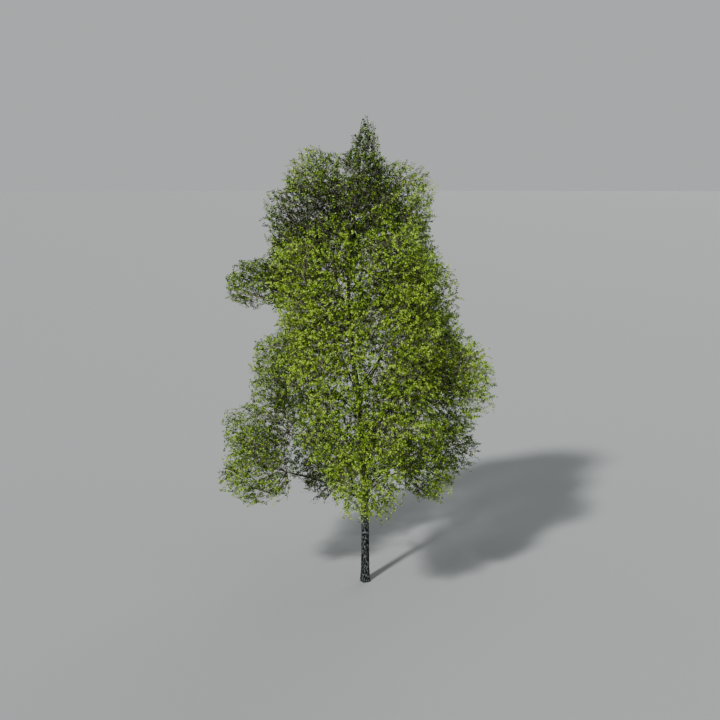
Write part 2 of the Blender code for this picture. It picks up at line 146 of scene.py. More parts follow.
for settings in LAMPS:
    lamp(*settings)
air = bpy.data.worlds.new("studio_air")
air.use_nodes = True
air_inputs = air.node_tree.nodes["Background"].inputs
air_inputs["Color"].default_value = linear(AIR_COLOUR)
air_inputs["Strength"].default_value = AIR_STRENGTH
scene.world = air
scene.view_settings.look = "AgX - Medium High Contrast"
print(len(LAMPS), "lamps and pale air")

# %% [markdown]
# ## A helper for materials
# Every material is a Principled shader, some with a few pattern nodes in front.  One
# small function adds a node, gives it its settings, and links its inputs.

# %% A helper for materials
def add(tree, kind, settings=None, links=None):
    """Add a node: its properties or input values by name, and its inputs' sources."""
    node = tree.nodes.new(kind)
    for name, value in (settings or {}).items():
        if isinstance(name, str) and hasattr(node, name):
            setattr(node, name, value)
        else:
            node.inputs[name].default_value = value
    for name, source in (links or {}).items():
        tree.links.new(source, node.inputs[name])
    return node


def surface(name, hex_colour, **sockets):
    """A Principled material of one colour, with its other sockets set by name."""
    material = bpy.data.materials.new(name)
    material.use_nodes = True
    shader = material.node_tree.nodes["Principled BSDF"]
    shader.inputs["Base Color"].default_value = linear(hex_colour)
    for socket, value in sockets.items():
        shader.inputs[socket.replace("_", " ")].default_value = value
    return material


# %% [markdown]
# ## The floor
# A small tile under the tree would show its edge.  This floor is a disc so wide that it
# meets the air at the horizon, in nearly the same tone.

# %% The floor
FLOOR_RADIUS = 2500.0
# Matt emulsion paint: it scatters light evenly, so the eye sees soft shadows and no sheen.
floor_paint = surface("matt_pale_floor", "#949696", Roughness=0.95,
                      Specular_IOR_Level=0.1)
bpy.ops.mesh.primitive_circle_add(vertices=96, radius=FLOOR_RADIUS, fill_type="NGON")
floor = bpy.context.object
floor.name = "floor"
floor.data.materials.append(floor_paint)
print("floor:", 2 * FLOOR_RADIUS / 1000, "km across")

# %% [markdown]
# ## The tree's own sizes
# Twigs can only grow on from limbs whose course is known.  It could be measured off the
# solids, but it is simpler and exact to say their driving sizes again, in metres.

# %% The tree's own sizes
GAP = 0.0003              # clearance where one solid meets another
TRUNK_TOP = 17.5          # the spire's stem stands on the trunk here
TRUNK_RADIUS = 0.185      # just above the root flare
TRUNK_TOP_RADIUS = 0.045
ROOT_FLARE = 0.045        # extra radius at the ground
FLARE_HEIGHT = 0.35       # the flare dies away over it
FOOT_HEIGHT = 0.20        # the cut end stands upright so far
TRUNK_BOW = 0.72          # lean to -X where it bows most
BOW_HEIGHT = 12.8         # height of that place
BOW_SPREAD = 5.0          # half the height over which it shows
TRUNK_SWAY = 0.10         # slighter bend, front to back
SWAY_LENGTH = 15.0
TRUNK_RINGS = 13
BOUGH_ARCH = 0.16         # rise of the arch, per metre of reach
BOUGH_SLENDER = 0.0135    # radius at the foot, per metre of length
BOUGH_MIN_RADIUS = 0.036
BOUGH_TAPER = 0.50        # tip radius over foot radius
COLLAR = 1.30             # swelling of the foot where it joins the trunk
BOUGH_RINGS = 6
ARC_STEPS = 200           # steps in which a bough feels its way
FEWEST_STEPS = 20         # and the fewest, or it would be a stub
STEM_LENGTH = 0.22        # straight start of each mass's stem
SWELL = 1.6               # spread of a mass's swelling, in half sizes
NARROW = 1.2              # masses with a smaller half size have smaller clumps

# Each mass: its name, the middle and the half sizes of its space (across, front to back,
# up), and the height at which its bough leaves the trunk.  The spire has no bough.
MASSES = (
    ("low_front", (0.05, -4.4, 5.85), (1.5, 1.45, 1.75), 4.5),
    ("low_front_left", (-1.3, -3.6, 7.6), (1.65, 1.6, 1.65), 5.9),
    ("low_front_right", (1.35, -3.5, 8.1), (1.75, 1.6, 1.5), 6.35),
    ("low_right", (2.55, -2.3, 6.0), (1.35, 1.6, 1.65), 3.95),
    ("low_left", (-4.5, -1.6, 5.5), (1.72, 1.6, 1.45), 3.6),
    ("left_shoulder", (-4.62, 0.6, 6.8), (1.78, 1.65, 1.4), 5.2),
    ("low_back_left", (-1.75, 2.6, 4.4), (1.8, 1.6, 1.65), 3.3),
    ("low_back", (0.9, 3.9, 5.3), (1.65, 1.5, 1.5), 3.75),
    ("low_back_right", (4.0, 2.1, 5.75), (1.35, 1.7, 1.55), 4.25),
    ("back_left_shoulder", (-2.5, 3.8, 7.3), (1.95, 1.7, 1.8), 4.9),
    ("back_right_shoulder", (1.8, 4.2, 8.0), (1.9, 1.65, 1.75), 5.45),
    ("right_lobe", (3.95, -0.6, 9.05), (1.74, 1.8, 2.05), 6.8),
    ("right_back", (3.45, 2.7, 9.55), (1.7, 1.7, 1.8), 6.1),
    ("middle_left", (-1.75, -2.7, 10.8), (1.85, 1.8, 2.1), 9.05),
    ("middle_right", (1.25, -2.7, 11.0), (1.95, 1.8, 2.1), 8.55),
    ("left_waist", (-3.6, 0.9, 9.6), (1.55, 1.8, 1.85), 7.5),
    ("middle_back_left", (-1.8, 3.4, 10.85), (1.85, 1.7, 2.05), 8.2),
    ("middle_back_right", (1.8, 3.1, 11.6), (1.8, 1.7, 1.95), 7.85),
    ("left_arm", (-4.32, 0.3, 13.18), (1.8, 1.25, 1.2), 10.8),
    ("upper_left_front", (-1.98, -1.85, 13.6), (2.1, 1.6, 2.05), 11.7),
    ("upper_right_side", (2.5, 0.1, 12.65), (1.6, 1.6, 1.95), 10.4),
    ("upper_back_left", (-2.35, 2.2, 14.0), (1.85, 1.6, 1.75), 11.35),
    ("upper_back_right", (1.35, 2.2, 14.4), (1.85, 1.55, 1.7), 11.0),
    ("upper_right_front", (0.85, -1.85, 14.3), (1.9, 1.45, 2.0), 12.8),
    ("top_left_inner", (-2.72, 0.5, 15.95), (1.68, 1.45, 1.7), 13.5),
    ("top_right", (1.54, 0.45, 16.7), (1.5, 1.4, 1.7), 13.95),
    ("top_back", (-0.4, 1.85, 16.55), (1.5, 1.3, 1.5), 14.4),
    ("top_front", (-0.5, -1.1, 17.15), (1.4, 1.25, 1.5), 15.4),
    ("top_left", (-2.2, -0.3, 17.85), (1.0, 1.05, 1.1), 15.0),
    ("spire", (-0.03, 0.0, 18.62), (0.68, 0.68, 1.55), TRUNK_TOP),
)

masses = [{"name": name, "middle": np.array(middle), "half": np.array(half),
           "size": float(np.mean(half)), "foot": foot,
           "leaf_size": min(1.0, min(half) / NARROW)}
          for name, middle, half, foot in MASSES]


def total(kind):
    """How many of a kind all the masses have."""
    return sum(len(mass[kind]) for mass in masses)


print(len(masses), "masses")

# %% [markdown]
# ## The course of the trunk
# A limb is a line of points and a radius at each.  The trunk's could be drawn by hand,
# but a bell curve for its bow and a sine for its sway give it at any height.

# %% The course of the trunk
def trunk_point(height):
    """Middle of the trunk at a height above the ground."""
    bow = math.exp(-(((height - BOW_HEIGHT) / BOW_SPREAD) ** 2))
    bow_at_ground = math.exp(-((BOW_HEIGHT / BOW_SPREAD) ** 2))
    sway = math.sin(2 * math.pi * height / SWAY_LENGTH)
    return np.array((-TRUNK_BOW * (bow - bow_at_ground), TRUNK_SWAY * sway, height))


def trunk_radius(height):
    """Radius of the trunk: an even taper, with the root flare at its foot."""
    share = height / TRUNK_TOP
    return (TRUNK_RADIUS + (TRUNK_TOP_RADIUS - TRUNK_RADIUS) * share
            + ROOT_FLARE * math.exp(-height / FLARE_HEIGHT))


def trunk_line():
    """Points and radii up the trunk.  The first stretch stands upright on the cut."""
    heights = [0.0, FOOT_HEIGHT, 2 * FOOT_HEIGHT, 4 * FOOT_HEIGHT]
    heights += list(np.linspace(8 * FOOT_HEIGHT, TRUNK_TOP, TRUNK_RINGS - len(heights)))
    points = np.array([trunk_point(height) for height in heights])
    points[1, :2] = points[0, :2]
    return points, np.array([trunk_radius(height) for height in heights])


trunk_course = trunk_line()
print("trunk:", len(trunk_course[0]), "rings, bowed",
      round(float(-trunk_point(BOW_HEIGHT)[0]), 2), "m to the left")

# %% [markdown]
# ## The space of each mass
# Thirty separate eggs would leave deep notches.  Each mass's space is a soft swelling
# instead: alone it would be an egg, but where two are near they add up and fill the
# notch, and a flat seam there parts what belongs to each.

# %% The space of each mass
def in_cell(mass, points, margin):
    """Which points lie on a mass's side of the flat seams where it meets the others."""
    inside = np.ones(len(points), bool)
    for other in masses:
        if other is mass:
            continue
        across = other["middle"] - mass["middle"]
        apart = np.linalg.norm(across)
        share = 0.5 + (mass["size"] ** 2 - other["size"] ** 2) / (2 * apart ** 2)
        depth = (points - mass["middle"]) @ (across / apart)
        inside &= depth < apart * share - margin
    return inside


def crown_depth(points):
    """About how deep points lie inside the crown, in metres, and below 0 outside it."""
    at_edge = (1 - 1 / SWELL ** 2) ** 2
    swelling = np.zeros(len(points))
    for mass in masses:
        offset = (points - mass["middle"]) / (SWELL * mass["half"])
        swelling += np.clip(1 - (offset ** 2).sum(axis=1), 0, None) ** 2
    fall = 4 * (1 - 1 / SWELL ** 2) / SWELL ** 2 / at_edge
    return (swelling / at_edge - 1) / fall * np.mean([mass["size"] for mass in masses])


def in_space(mass, points, margin):
    """Which points lie in a mass's own space."""
    return (crown_depth(points) > margin) & in_cell(mass, points, margin)


middles = np.array([mass["middle"] for mass in masses])
print("the deepest mass's middle lies", round(float(crown_depth(middles).max()), 2), "m in")

# %% [markdown]
# ## The course of the boughs
# A bough leaves the trunk at its own height and arches out to its mass.  Its line feels
# its way in small steps and stops a little way inside the mass's space, where the mass's
# own stem takes over.

# %% The course of the boughs
def bough_arc(mass):
    """Close points along a bough, from inside the trunk to where it enters its mass."""
    foot = trunk_point(mass["foot"])
    reach = math.hypot(*(mass["middle"] - foot)[:2])
    crest = (foot + mass["middle"]) / 2 + np.array((0, 0, BOUGH_ARCH * reach))
    steps = np.linspace(0, 1, ARC_STEPS)[:, None]
    arc = ((1 - steps) ** 2 * foot + 2 * steps * (1 - steps) * crest
           + steps ** 2 * mass["middle"])
    offset = (arc - mass["middle"]) / (mass["half"] - STEM_LENGTH)
    entered = ((offset ** 2).sum(axis=1) < 1) & in_space(mass, arc, STEM_LENGTH)
    return arc[:max(int(np.argmax(entered)), FEWEST_STEPS)]


def length_of(line):
    """The length of a line of points."""
    return np.linalg.norm(np.diff(line, axis=0), axis=1).sum()


def bough_line(arc):
    """The few points and radii that a bough's solid is swept along."""
    rings = arc[np.linspace(0, len(arc) - 1, BOUGH_RINGS).astype(int)]
    foot_radius = max(BOUGH_MIN_RADIUS, BOUGH_SLENDER * length_of(rings))
    radii = foot_radius * np.linspace(1, BOUGH_TAPER, BOUGH_RINGS)
    radii[0] *= COLLAR
    return rings, radii


for mass in masses:
    mass["arc"] = None if mass["foot"] >= TRUNK_TOP else bough_arc(mass)
    mass["support"] = trunk_course if mass["arc"] is None else bough_line(mass["arc"])
boughed = [mass for mass in masses if mass["arc"] is not None]
limbs = [trunk_course] + [mass["support"] for mass in boughed]
print(len(boughed), "boughs, the longest",
      round(float(max(length_of(line) for line, _ in limbs[1:])), 2), "m")

# %% [markdown]
# ## Bark with real relief
# A poplar's bark is smooth and grey when young, and splits into upright furrows as the
# stem thickens.  A pattern alone would leave the stem's edge a straight line, so they are
# cut into the mesh, by a noise drawn out along the limb and deepest on thick wood.

# %% Bark with real relief
FURROW_WIDTH = 0.050      # one furrow and ridge, round the trunk
FURROW_LENGTH = 0.26      # and along it
FURROW_DEPTH = 0.075      # as a share of the limb's radius
RING_STEP = 0.042         # between the trunk's rings
SWELL_SHARE = 0.45        # broad swells in the relief; ridges are the rest
RIDGES_FINER = 1.7        # the ridges' noise is this much finer
RIDGES_APART = Vector((7, 3, 1))  # and is read elsewhere
RIDGE_MIDDLE = 1.4        # mean of the doubled ridge noise


def relief(place):
    """How far the bark stands out at a place: about -1 in a furrow, 1 on a ridge."""
    stretched = Vector((place[0] / FURROW_WIDTH, place[1] / FURROW_WIDTH,
                        place[2] / FURROW_LENGTH))
    swells = noise.noise(stretched)
    ridges = 1 - 2 * abs(noise.noise(stretched * RIDGES_FINER + RIDGES_APART))
    return SWELL_SHARE * swells + (1 - SWELL_SHARE) * (2 * ridges - RIDGE_MIDDLE)


print("furrows on the trunk:", round(1000 * FURROW_DEPTH * TRUNK_RADIUS), "mm deep,",
      round(1000 * FURROW_WIDTH), "mm apart")

# %% [markdown]
# ## The skin of a limb
# A bevelled curve gives a smooth tube with no say over its points.  So the skin is laid
# out ring by ring, and each point goes out by the limb's radius, its root lobes and its
# relief.

# %% The skin of a limb
ROOT_LOBES = 5            # buttresses in the root flare
LOBE_DEPTH = 0.10         # as a share of the radius
LOBE_HEIGHT = 0.40        # height over which they die away


def unit(vectors):
    """Vectors made one long."""
    return vectors / np.linalg.norm(vectors, axis=-1, keepdims=True)


def ring_frames(line):
    """Two directions across a line at each of its points, turning as little as they can."""
    along = unit(np.gradient(line, axis=0))
    first = np.cross(along[0], (0, 1, 0))
    firsts = []
    for heading in along:
        first = unit(first - heading * (first @ heading))
        firsts.append(first)
    return np.array(firsts), np.cross(along, firsts)


def walls(low, high):
    """Two triangles for each side between rings of corners, one ring above the other."""
    low_next, high_next = np.roll(low, -1, -1), np.roll(high, -1, -1)
    return np.concatenate([np.stack((low, low_next, high_next), -1).reshape(-1, 3),
                           np.stack((low, high_next, high), -1).reshape(-1, 3)])


def limb_skin(line, radii, sides, lobes=0.0):
    """Points and triangles of a limb's bark, closed by a fan at both ends."""
    first, second = ring_frames(line)
    angles = np.linspace(0, 2 * math.pi, sides, endpoint=False)
    points = []
    for ring, (middle, radius) in enumerate(zip(line, radii)):
        for angle in angles:
            outward = math.cos(angle) * first[ring] + math.sin(angle) * second[ring]
            place = middle + radius * outward
            flare = lobes * math.cos(ROOT_LOBES * angle)
            flare *= math.exp(-middle[2] / LOBE_HEIGHT)
            depth = FURROW_DEPTH * radius * relief(place)
            points.append(middle + outward * (radius * (1 + flare) + depth))
    points += [line[0], line[-1]]
    index = np.arange(len(line) * sides).reshape(len(line), sides)
    rim, last, ends = index[0], index[-1], np.full(sides, index.size)
    foot = np.stack((np.roll(rim, -1), rim, ends), -1)
    tip = np.stack((last, np.roll(last, -1), ends + 1), -1)
    return np.array(points), np.concatenate([walls(index[:-1], index[1:]), foot, tip])


print("root flare:", ROOT_LOBES, "lobes,", round(1000 * LOBE_DEPTH * TRUNK_RADIUS), "mm deep")

# %% [markdown]
# ## From arrays to an object
# Blender can make a mesh from lists of points and faces, but a million of them are slow.
# Filling the mesh's own arrays at once takes a blink.

# %% From arrays to an object
def joined(shapes):
    """Several shapes' points and triangles as one."""
    counts = np.cumsum([0] + [len(points) for points, _ in shapes])
    return (np.concatenate([points for points, _ in shapes]),
            np.concatenate([faces + count for (_, faces), count in zip(shapes, counts)]))


def piece(name, points, faces, materials, slots=None, smooth=False):
    """A mesh object from arrays of points and triangles, riding on the tree's body."""
    mesh = bpy.data.meshes.new(name)
    mesh.vertices.add(len(points))
    mesh.vertices.foreach_set("co", points.astype(np.float32).ravel())
    mesh.loops.add(3 * len(faces))
    mesh.loops.foreach_set("vertex_index", faces.astype(np.int32).ravel())
    mesh.polygons.add(len(faces))
    mesh.polygons.foreach_set("loop_start", np.arange(0, 3 * len(faces), 3, dtype=np.int32))
    if slots is not None:
        mesh.polygons.foreach_set("material_index", slots.astype(np.int32))
    mesh.polygons.foreach_set("use_smooth", np.full(len(faces), smooth))
    for material in materials:
        mesh.materials.append(material)
    mesh.update(calc_edges=True)
    shape = bpy.data.objects.new(name, mesh)
    scene.collection.objects.link(shape)
    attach(shape, "root")
    return shape


# %% [markdown]
# ## Skins of the trunk and boughs
# The solids have too few rings for furrows.  The trunk's line is asked again every few
# centimetres, and a bough's radii are spread along its arc and resampled.

# %% Skins of the trunk and boughs
TRUNK_SIDES = 48
BOUGH_SIDES = 12
BOUGH_STEP = 0.06         # between a bough's rings


def resampled(line, radii, step):
    """A line and its radii with points this far apart."""
    way = np.concatenate([[0], np.cumsum(np.linalg.norm(np.diff(line, axis=0), axis=1))])
    places = np.linspace(0, way[-1], max(2, round(way[-1] / step)))
    return (np.stack([np.interp(places, way, line[:, axis]) for axis in range(3)], -1),
            np.interp(places, way, radii))


heights = np.linspace(0, TRUNK_TOP, round(TRUNK_TOP / RING_STEP))
trunk_middles = np.array([trunk_point(height) for height in heights])
upright = heights < FOOT_HEIGHT
trunk_middles[upright, :2] = trunk_middles[0, :2]
trunk_skin = limb_skin(trunk_middles, [trunk_radius(height) for height in heights],
                       TRUNK_SIDES, LOBE_DEPTH)
bough_skins = []
for mass in boughed:
    rings, radii = mass["support"]
    way = np.linspace(0, 1, len(mass["arc"]))
    radius = np.interp(way, np.linspace(0, 1, BOUGH_RINGS), radii)
    bough_skins.append(limb_skin(*resampled(mass["arc"], radius, BOUGH_STEP), BOUGH_SIDES))
print("bark:", len(trunk_skin[1]), "triangles on the trunk,",
      sum(len(faces) for _, faces in bough_skins), "on the boughs")

# %% [markdown]
# ## What bark looks like
# Poplar bark is grey with a faint green cast, dull, paler on the weathered ridges and
# nearly black in the furrows: their own dark tone and painted shade, which lies where the
# same noise makes the bump's hollows.  Plain grey with a bump would look like concrete.
# So the colour follows a noise as wide as a furrow, drawn out along the limb, with small
# dark lenticels (breathing pores) over it.

# %% What bark looks like
PALE_FROM = 0.49          # noise value where the furrow's tone ends
PALE_BY = 0.60            # and the ridge's begins
PORES_TO_A_FURROW = 2.2
PORE_SIZES = (0.10, 0.22)  # dark core and soft rim, as shares of that
RELIEF_SHOWN = 0.006      # depth of the finest crumbs, too fine to cut


def poplar_bark(name, ridge, furrow, width_mm, drawn_out_by):
    """Weathered bark: pale ridges and dark furrows, darkened partly by painted shade, this
    many millimetres wide.
    """
    material = surface(name, ridge, Roughness=0.88, Specular_IOR_Level=0.25)
    tree = material.node_tree
    shader = tree.nodes["Principled BSDF"]
    per_metre = 1000 / width_mm
    place = add(tree, "ShaderNodeTexCoord").outputs["Object"]
    drawn_out = add(tree, "ShaderNodeMapping", {"Scale": (per_metre, per_metre,
                                                          per_metre / drawn_out_by)},
                    {"Vector": place}).outputs[0]
    furrows = add(tree, "ShaderNodeTexNoise", {"Scale": 1.0, "Detail": 4.0,
                                               "Roughness": 0.62}, {"Vector": drawn_out})
    lenticels = add(tree, "ShaderNodeTexVoronoi", {"Scale": PORES_TO_A_FURROW},
                    {"Vector": drawn_out})
    marks = add(tree, "ShaderNodeMapRange", dict(zip(("From Min", "From Max"), PORE_SIZES)),
                {"Value": lenticels.outputs["Distance"]})
    shade = add(tree, "ShaderNodeMath", {"operation": "MULTIPLY"},
                {0: furrows.outputs[0], 1: marks.outputs[0]})
    # The dark tone lies where the bump's hollows are: the furrows' own dark and painted
    # shade.
    ramp = add(tree, "ShaderNodeValToRGB", links={0: shade.outputs[0]})
    stops = zip(ramp.color_ramp.elements, (PALE_FROM, PALE_BY), (furrow, ridge))
    for stop, position, colour in stops:
        stop.position, stop.color = position, linear(colour)
    tree.links.new(ramp.outputs[0], shader.inputs["Base Color"])
    bump = add(tree, "ShaderNodeBump", {"Strength": 0.6, "Distance": RELIEF_SHOWN},
               {"Height": furrows.outputs[0]})
    tree.links.new(bump.outputs[0], shader.inputs["Normal"])
    return material


# Real crumbs of bark are 15 to 30 mm wide, too fine to show from 43 m, so both barks are
# drawn about twice as coarse.
# Old bark, split and weathered: the eye sees pale crumbs on black, rough and dull.  The
# black is the fissures' own tone and painted shade in them.
trunk_bark = poplar_bark("furrowed_trunk_bark", "#686e6b", "#0a0c0b", 52, 2.0)
# Young bark, still whole: the eye sees a finer, browner and softer mottling, whose dark
# parts lie in the bump's hollows and are partly painted shade.
bough_bark = poplar_bark("smooth_bough_bark", "#5c5d55", "#1c1c18", 34, 3)
trunk_piece = piece("trunk_bark", *trunk_skin, [trunk_bark], smooth=True)
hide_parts("trunk")
bough_piece = piece("bough_bark", *joined(bough_skins), [bough_bark], smooth=True)
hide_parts(*["bough_" + mass["name"] for mass in boughed])
print("bark pieces:", trunk_piece.name, bough_piece.name)

# %% [markdown]
# ## Where the clumps are rooted
# A mass's first twigs are grown as they were for the solids, with the same seed, so that
# the rest grows on from the solids' own.  Purely random roots would crowd here and leave
# holes there, so each next one is the candidate farthest from those already chosen.

# %% Where the clumps are rooted
CLUMPS_PER_AREA = 4.9     # clumps of a mass over its mean half size squared
FEWEST_CLUMPS = 2         # besides, for small masses
CANDIDATES = 4000
ROOT_MARGIN = 0.28        # roots lie this deep in their space
LIMB_MARGIN = 0.05        # twigs keep this far off limbs, and blades twice as far


def distance_to_limbs(points):
    """Least clear distance from each point to the skin of any limb."""
    nearest = np.full(len(points), np.inf)
    for line, radii in limbs:
        start, along = line[:-1], np.diff(line, axis=0)
        offset = points[:, None] - start[None]
        share = (offset * along).sum(axis=2) / (along ** 2).sum(axis=1)
        share = np.clip(share, 0, 1)
        gap = np.linalg.norm(offset - share[..., None] * along, axis=2)
        radius = radii[:-1] + share * np.diff(radii)
        nearest = np.minimum(nearest, (gap - radius).min(axis=1))
    return nearest


def farthest_first(candidates, origin, count):
    """Spread places evenly: each next one is the candidate farthest from those chosen."""
    nearest = np.linalg.norm(candidates - origin, axis=1)
    chosen = []
    for _ in range(min(count, len(candidates))):
        place = candidates[int(np.argmax(nearest))]
        chosen.append(place)
        nearest = np.minimum(nearest, np.linalg.norm(candidates - place, axis=1))
    return chosen


def clump_roots(mass, rng):
    """Where a mass's clumps are rooted."""
    reach = mass["half"] * SWELL
    candidates = mass["middle"] + reach * rng.uniform(-1, 1, (CANDIDATES, 3))
    inside = in_space(mass, candidates, ROOT_MARGIN * mass["leaf_size"])
    candidates = candidates[inside]
    candidates = candidates[distance_to_limbs(candidates) > 2 * LIMB_MARGIN]
    count = round(FEWEST_CLUMPS + CLUMPS_PER_AREA * mass["size"] ** 2)
    return farthest_first(candidates, mass["middle"], count)


for seed, mass in enumerate(masses):
    mass["rng"] = np.random.default_rng(seed)
    mass["roots"] = clump_roots(mass, mass["rng"])
print("roots of clumps:", total("roots"))

# %% [markdown]
# ## How the first twigs join them
# Joined each to its nearest neighbour, the roots would make long wandering chains; run
# straight to the stem, they would make a broom.  A poplar does something between: each
# root is joined where its twig and its way to the stem together are shortest.

# %% How the first twigs join them
WAY_SHARE = 0.60          # 0 joins the nearest twig, 1 runs to the stem
BEARERS_TRIED = 6         # twig points tried for each new twig
MOST_BRANCHES = 3         # twigs that one point may bear
TWIG_TESTS = 12           # places along a twig where its clearance is tested
BRANCH_STEP = 0.07        # side twigs start this far past their point


def clear_twig(start, end):
    """Whether a straight twig keeps off every limb."""
    shares = np.linspace(0, 1, TWIG_TESTS)[:, None]
    return distance_to_limbs(start + shares * (end - start)).min() > LIMB_MARGIN


def first_twigs(stem, roots):
    """Join the roots, nearest first, each to the twig point that keeps its way short."""
    points, parents = [stem[0], stem[1]], [None, 0]
    way = [0.0, float(np.linalg.norm(stem[1] - stem[0]))]
    for root in sorted(roots, key=lambda place: np.linalg.norm(place - stem[1])):
        gaps = np.linalg.norm(np.array(points[1:]) - root, axis=1)
        cost = gaps + WAY_SHARE * np.array(way[1:])
        crowded = [parents.count(index) >= MOST_BRANCHES for index in range(1, len(points))]
        cost[crowded] = np.inf
        for choice in np.argsort(cost)[:BEARERS_TRIED] + 1:
            if clear_twig(points[choice], root):
                points.append(root)
                parents.append(int(choice))
                way.append(way[choice] + float(gaps[choice - 1]))
                break
    return np.array(points), parents


def twig_runs(points, parents):
    """The twigs as unbroken runs, each along its thickest way."""
    load = [1] * len(points)
    children = [[] for _ in points]
    for index in range(len(points) - 1, 0, -1):
        load[parents[index]] += load[index]
        children[parents[index]].append(index)
    runs, starts = [], [(0, None)]
    while starts:
        first, source = starts.pop(0)
        run = [first]
        while children[run[-1]]:
            branches = sorted(children[run[-1]], key=lambda child: -load[child])
            onward = unit(points[branches[0]] - points[run[-1]])
            for place, child in enumerate(branches[1:], start=1):
                starts.append((child, points[run[-1]] + place * BRANCH_STEP * onward))
            run.append(branches[0])
        line = points[run]
        runs.append(line if source is None else np.vstack((source, line)))
    return runs


for mass in masses:
    line, _ = mass["support"]
    onward = unit(line[-1] - line[-2])
    stem = (line[-1] + GAP * onward, line[-1] + STEM_LENGTH * onward)
    mass["points"], mass["parents"] = first_twigs(stem, mass["roots"])
print("first twigs:", total("points") - len(masses))

# %% [markdown]
# ## Where each clump's blade lies
# The large blade that stands for a clump on the solids isn't drawn, but the clump is to
# fill its room.  So each is turned at random, as it was for the solids, until it keeps in
# its space and off limbs, twigs and other blades.

# %% Where each clump's blade lies
CLUMP_LENGTH = 1.15
CLUMP_WIDTH = 0.92
CLUMP_BELLY = 0.40        # widest place, as a share of the length from the root
CLUMP_SINK = 0.28         # share of the length that lies behind the twig
CLUMP_ASIDE = 0.045       # the twig meets the blade this far off its midrib
CLUMP_TILT = 0.35         # scatter of the way it faces, about its twig's heading
CLUMP_SWING = 2.2         # the most that it turns from hanging, in radians
CLUMP_TRIES = 60
CLUMP_LOOSEN = 3.0        # growth of the scatter by the last try
GRAZE = 0.06              # a twig this near its edge, as a share, touches it
SPACE_MARGIN = 0.03       # blades lie this deep in their space


def clump_frame(facing, turn):
    """Axes of a clump that faces a way: across, through and along, turned in its plane."""
    through = unit(facing)
    flat = abs(through[2]) > 0.99
    across = unit(np.cross(through, (1, 0, 0) if flat else (0, 0, 1)))
    hanging = np.cross(through, across)
    along = math.cos(turn) * hanging + math.sin(turn) * across
    return np.cross(through, along), through, along


def clump_cover(root, frame, size, shares=(0.0, 0.2, CLUMP_BELLY, 0.6, 0.8, 1.0)):
    """Points over a clump's blade: its midrib and both edges at shares of its length."""
    across, _, along = frame
    cover = []
    for share in shares:
        spread = min(share / CLUMP_BELLY, (1 - share) / (1 - CLUMP_BELLY)) * CLUMP_WIDTH / 2
        middle = along * (share - CLUMP_SINK) * CLUMP_LENGTH + across * CLUMP_ASIDE
        cover += [middle, middle - across * spread, middle + across * spread]
    return root + size * np.array(cover)


def passes_through(starts, ends, root, frame, size):
    """Whether a straight line passes through or grazes a blade anywhere but at its root."""
    across, through, along = frame
    height_start, height_end = (starts - root) @ through, (ends - root) @ through
    crossing = height_start * height_end < 0
    starts, ends = starts[crossing], ends[crossing]
    share = height_start[crossing] / (height_start[crossing] - height_end[crossing])
    place = starts + share[:, None] * (ends - starts) - root
    up = place @ along / (size * CLUMP_LENGTH) + CLUMP_SINK
    aside = np.abs(place @ across / size - CLUMP_ASIDE) / (CLUMP_WIDTH / 2)
    spread = np.minimum(up / CLUMP_BELLY, (1 - up) / (1 - CLUMP_BELLY))
    elsewhere = np.linalg.norm(place, axis=1) > BRANCH_STEP / 3
    return bool((elsewhere & (aside < spread + GRAZE)).any())


def blades_cross(clump, other):
    """Whether the rim of either blade passes through the other."""
    for first, second in ((clump, other), (other, clump)):
        rim = clump_cover(*first)[[0, 7, 15, 8]]  # root, one edge, tip, other edge
        if passes_through(rim, np.roll(rim, -1, axis=0), *second):
            return True
    return False


def set_clump(mass, root, heading, wood, clumps, rng):
    """A clump that keeps in its space and off limbs, twigs and clumps, or None."""
    for attempt in range(CLUMP_TRIES):
        scatter = CLUMP_TILT * (1 + CLUMP_LOOSEN * attempt / CLUMP_TRIES)
        facing = heading + scatter * rng.normal(size=3)
        frame = clump_frame(facing, rng.uniform(-CLUMP_SWING, CLUMP_SWING))
        clump = (root, frame, mass["leaf_size"])
        cover = clump_cover(*clump)
        if (in_space(mass, cover, SPACE_MARGIN).all()
                and not passes_through(*wood, *clump)
                and not any(blades_cross(clump, other) for other in clumps)
                and distance_to_limbs(cover).min() > 2 * LIMB_MARGIN):
            return clump
    return None


def set_clumps(mass, rng):
    """A mass's clumps, each by the twig point that bears it."""
    points, parents = mass["points"], mass["parents"]
    lines = twig_runs(points, parents) + [limb for limb, _ in limbs]
    wood = (np.vstack([line[:-1] for line in lines]), np.vstack([line[1:] for line in lines]))
    clumps = {}
    for index in range(2, len(points)):
        heading = unit(points[index] - points[parents[index]])
        clump = set_clump(mass, points[index], heading, wood, list(clumps.values()), rng)
        if clump is not None:
            clumps[index] = clump
    return clumps


def drop_bare_twigs(mass, bearing):
    """Leave out a mass's twigs that lead to no clump, as a tree drops its shaded ones."""
    needed = {0, 1}
    for index in bearing:
        while index not in needed:
            needed.add(index)
            index = mass["parents"][index]
    kept = sorted(needed)
    mass["points"] = mass["points"][kept]
    mass["parents"] = [None] + [kept.index(mass["parents"][index]) for index in kept[1:]]


for mass in masses:
    clumps = set_clumps(mass, mass["rng"])
    drop_bare_twigs(mass, clumps)
    mass["clumps"] = list(clumps.values())
print("clumps:", total("clumps"))

# %% [markdown]
# ## Where the shoots stand
# A real clump is a bundle of short shoots.  Their places are spread farthest first too.
# Those near a blade are kept, so that the clumps show, and half of the others, or each
# clump would be a pompon.  Two noises make the crown's edge ragged.

